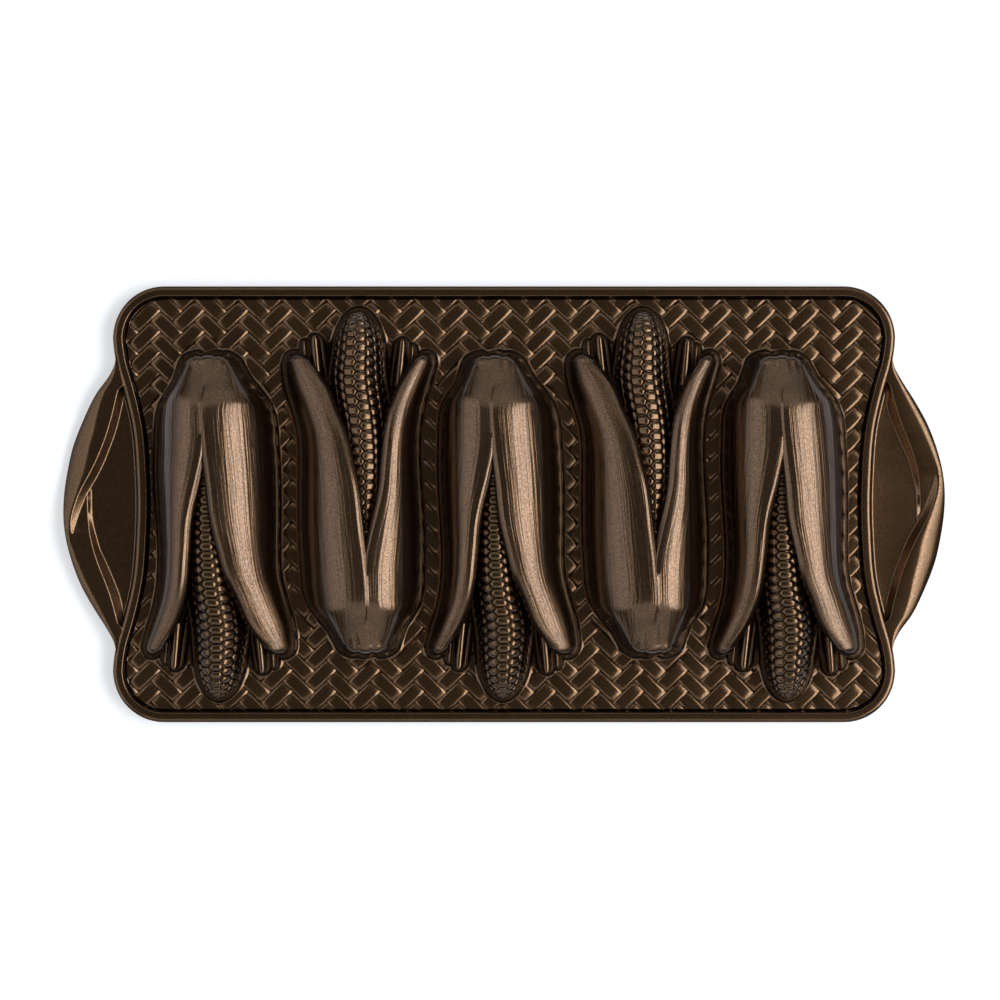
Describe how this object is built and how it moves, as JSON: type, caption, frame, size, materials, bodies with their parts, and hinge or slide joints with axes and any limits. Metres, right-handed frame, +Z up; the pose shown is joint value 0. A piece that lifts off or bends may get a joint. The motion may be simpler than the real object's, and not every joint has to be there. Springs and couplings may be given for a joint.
{
  "type": "corn cake pan",
  "caption": "Cast aluminium baking pan with husked corn ear moulds, a basket weave deck, a raised rim and leaf-shaped handles.",
  "frame": {"origin": "on the plane that the rim rests on, under the middle of the pan as it lies upside down", "axes": "+X along the pan from handle to handle, +Y across it, +Z up from the rim towards the tops of the moulds"},
  "size_m": [0.3904, 0.193, 0.0317],
  "materials": {
    "bronze_coating": "satin metallic bronze non-stick coating over cast aluminium, with a fine sparkle",
    "woven_deck_coating": "the same coating, a little darker and duller in the hollows of the weave"
  },
  "bodies": {
    "root": {"deck": "woven_deck_coating", "rim": "bronze_coating", "handle_left_upper_leaf": "bronze_coating", "handle_left_lower_leaf": "bronze_coating", "handle_left_panel": "bronze_coating", "handle_right_upper_leaf": "bronze_coating", "handle_right_lower_leaf": "bronze_coating", "handle_right_panel": "bronze_coating", "husk_1": "bronze_coating", "cob_1": "bronze_coating", "leaflet_left_1": "bronze_coating", "leaflet_right_1": "bronze_coating", "husk_2": "bronze_coating", "cob_2": "bronze_coating", "leaflet_left_2": "bronze_coating", "leaflet_right_2": "bronze_coating", "husk_3": "bronze_coating", "cob_3": "bronze_coating", "leaflet_left_3": "bronze_coating", "leaflet_right_3": "bronze_coating", "husk_4": "bronze_coating", "cob_4": "bronze_coating", "leaflet_left_4": "bronze_coating", "leaflet_right_4": "bronze_coating", "husk_5": "bronze_coating", "cob_5": "bronze_coating", "leaflet_left_5": "bronze_coating", "leaflet_right_5": "bronze_coating"}
  },
  "joints": []
}
